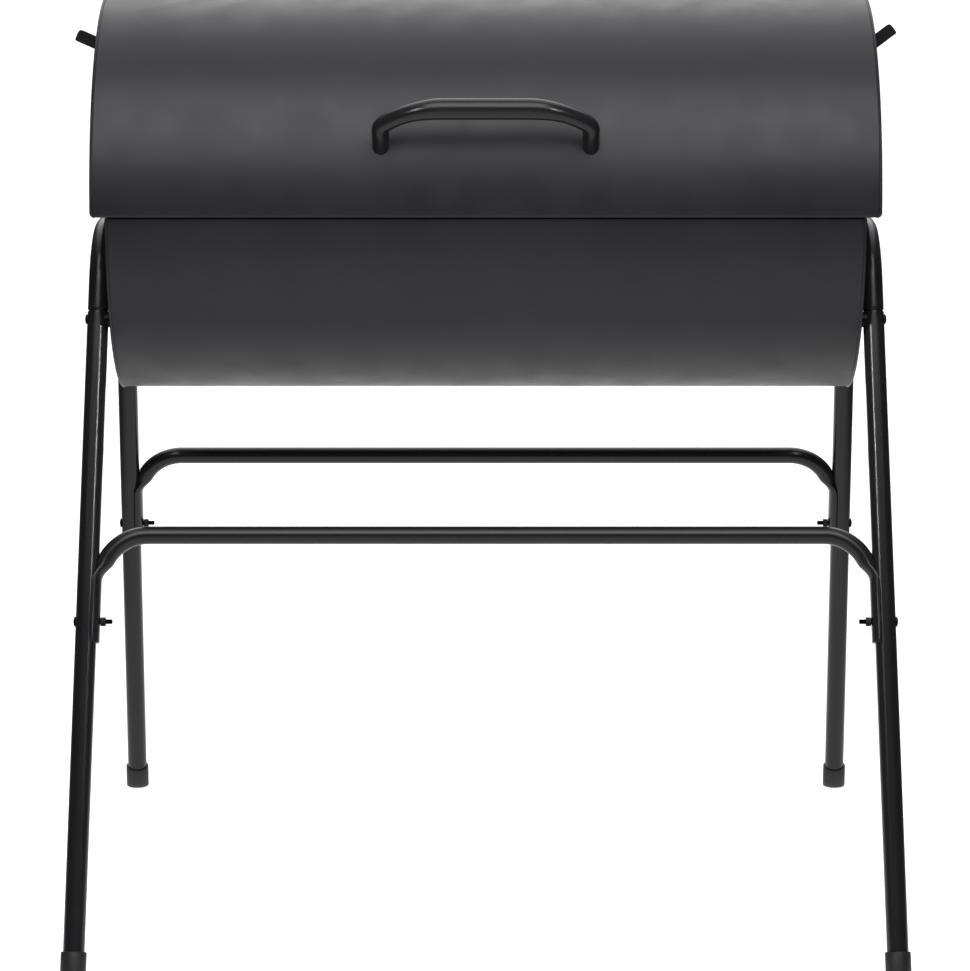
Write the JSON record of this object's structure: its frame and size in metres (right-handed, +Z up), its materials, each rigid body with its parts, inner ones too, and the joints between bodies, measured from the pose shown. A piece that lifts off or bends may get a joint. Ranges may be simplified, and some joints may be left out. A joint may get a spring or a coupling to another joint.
{
  "type": "barrel charcoal barbecue",
  "caption": "Half-round fire bowl on a splayed tube stand with a hinged half-round lid, a front handle, end air dampers, lift-out cooking grids and a charcoal grate",
  "frame": {"origin": "on the floor, midway between the four feet", "axes": "+X along the barrel, -Y towards the cook (the handle side), +Z up"},
  "size_m": [0.836, 0.7264, 0.9245],
  "materials": {
    "barrel_paint": "satin heat-resistant charcoal paint on pressed steel sheet",
    "tube_paint": "semi-gloss black powder coat on steel tube",
    "foot_plastic": "matte black moulded plastic",
    "fastener_steel": "black oxide steel bolts, nuts, rivets and hinge parts",
    "wire_chrome": "bright plated wire",
    "grate_wire": "matt black heat-resistant coating on wire"
  },
  "bodies": {
    "stand": {"arch_left": "tube_paint", "bowl_end_left": "barrel_paint", "hinge_bowl_leaf_left": "fastener_steel", "hinge_pin_left": "fastener_steel", "leg_front_left": "tube_paint", "foot_front_left": "foot_plastic", "joint_bolt_front_left": "fastener_steel", "joint_spacer_front_left": "fastener_steel", "joint_nut_front_left": "fastener_steel", "bar_bolt_front_left": "fastener_steel", "bar_nut_front_left": "fastener_steel", "leg_back_left": "tube_paint", "foot_back_left": "foot_plastic", "joint_bolt_back_left": "fastener_steel", "joint_spacer_back_left": "fastener_steel", "joint_nut_back_left": "fastener_steel", "bar_bolt_back_left": "fastener_steel", "bar_nut_back_left": "fastener_steel", "arch_right": "tube_paint", "bowl_end_right": "barrel_paint", "hinge_bowl_leaf_right": "fastener_steel", "hinge_pin_right": "fastener_steel", "leg_front_right": "tube_paint", "foot_front_right": "foot_plastic", "joint_bolt_front_right": "fastener_steel", "joint_spacer_front_right": "fastener_steel", "joint_nut_front_right": "fastener_steel", "bar_bolt_front_right": "fastener_steel", "bar_nut_front_right": "fastener_steel", "leg_back_right": "tube_paint", "foot_back_right": "foot_plastic", "joint_bolt_back_right": "fastener_steel", "joint_spacer_back_right": "fastener_steel", "joint_nut_back_right": "fastener_steel", "bar_bolt_back_right": "fastener_steel", "bar_nut_back_right": "fastener_steel", "crossbar_front": "tube_paint", "grid_rail_front": "barrel_paint", "crossbar_back": "tube_paint", "grid_rail_back": "barrel_paint", "bowl_shell": "barrel_paint"},
    "lid": {"lid_end_left": "barrel_paint", "damper_rivet_left": "fastener_steel", "handle_screw_left": "fastener_steel", "hinge_lid_leaf_left": "fastener_steel", "lid_end_right": "barrel_paint", "damper_rivet_right": "fastener_steel", "handle_screw_right": "fastener_steel", "hinge_lid_leaf_right": "fastener_steel", "lid_shell": "barrel_paint", "lid_handle": "tube_paint"},
    "damper_left": {"damper_left": "barrel_paint"},
    "damper_right": {"damper_right": "barrel_paint"},
    "grid_left": {"cooking_grid_left": "wire_chrome"},
    "grid_right": {"cooking_grid_right": "wire_chrome"},
    "grate": {"charcoal_grate": "grate_wire"}
  },
  "joints": [
    {"name": "lid_hinge", "type": "hinge", "parent": "stand", "child": "lid", "pos_m": [0, 0.2088, 0.716], "axis": [-1, 0, 0], "range_deg": [0, 100]},
    {"name": "damper_left_turn", "type": "hinge", "parent": "lid", "child": "damper_left", "pos_m": [-0.386, 0, 0.816], "axis": [-1, 0, 0], "continuous": true},
    {"name": "damper_right_turn", "type": "hinge", "parent": "lid", "child": "damper_right", "pos_m": [0.386, 0, 0.816], "axis": [1, 0, 0], "continuous": true},
    {"name": "grid_left_lift", "type": "slide", "parent": "stand", "child": "grid_left", "axis": [0, 0, 1], "range_m": [0, 0.06]},
    {"name": "grid_right_lift", "type": "slide", "parent": "stand", "child": "grid_right", "axis": [0, 0, 1], "range_m": [0, 0.06]},
    {"name": "grate_lift", "type": "slide", "parent": "stand", "child": "grate", "axis": [0, 0, 1], "range_m": [0, 0.06]}
  ]
}
